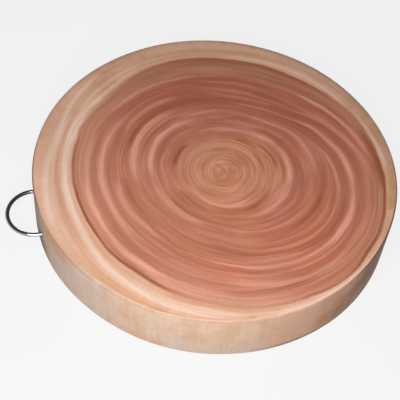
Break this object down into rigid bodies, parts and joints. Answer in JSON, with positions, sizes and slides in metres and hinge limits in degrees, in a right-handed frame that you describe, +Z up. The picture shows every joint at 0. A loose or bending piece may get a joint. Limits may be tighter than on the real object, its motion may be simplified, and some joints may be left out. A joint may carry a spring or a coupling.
{
  "type": "chopping block",
  "caption": "Thick round chopping block sawn across one tree trunk, with eased edges and a fixed bowed wire handle glued into its wall for lifting and hanging.",
  "frame": {"origin": "centre of the flat face that the block rests on, on the block's own axis", "axes": "+Z up through the thickness to the cutting face; -X straight out of the wall along the wire handle; +Y completes the right-handed frame"},
  "size_m": [0.3893, 0.36, 0.058],
  "materials": {
    "end_grain_wood": "sanded end grain with a thin coat of oil, red-brown heartwood inside a pale sapwood rim",
    "polished_wire": "bright drawn steel wire",
    "set_glue": "dark set resin glue, satin"
  },
  "bodies": {
    "root": {"wood_round": "end_grain_wood", "wire_handle": "polished_wire", "front_leg_glue": "set_glue", "back_leg_glue": "set_glue"}
  },
  "joints": []
}
